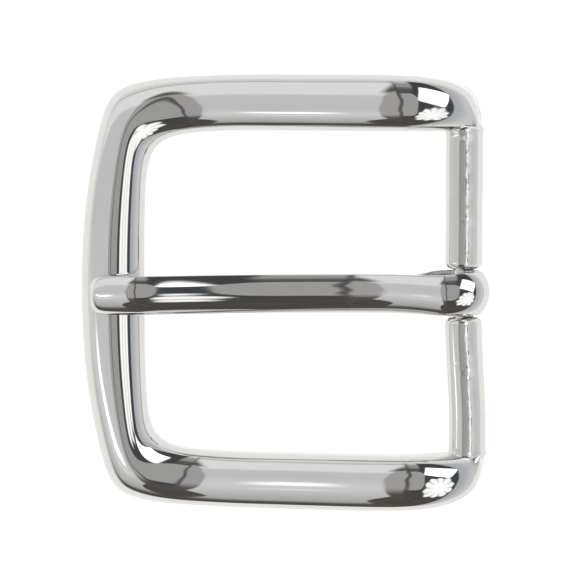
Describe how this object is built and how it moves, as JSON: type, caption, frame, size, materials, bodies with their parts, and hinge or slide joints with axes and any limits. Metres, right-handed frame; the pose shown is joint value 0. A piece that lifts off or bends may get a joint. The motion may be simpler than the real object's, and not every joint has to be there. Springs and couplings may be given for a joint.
{
  "type": "belt buckle",
  "caption": "Polished single-bar belt buckle: a bowed, arched frame cast with its heel bar, and a hooked prong that swings on the bar's neck.",
  "frame": {"origin": "middle of the closed buckle's plan, on the back plane that the frame rests on", "axes": "+X from the front rail to the heel bar, +Y along the bar, +Z away from the wearer"},
  "size_m": [0.0446, 0.0476, 0.007],
  "materials": {
    "frame_plating": "polished nickel plating over a die casting",
    "prong_plating": "polished nickel plating over a die casting"
  },
  "bodies": {
    "frame": {"frame": "frame_plating"},
    "prong": {"prong": "prong_plating"}
  },
  "joints": [
    {"name": "prong_hinge", "type": "hinge", "parent": "frame", "child": "prong", "pos_m": [0.01944, 0, 0.0026], "axis": [0, 1, 0], "range_deg": [0, 330]}
  ]
}
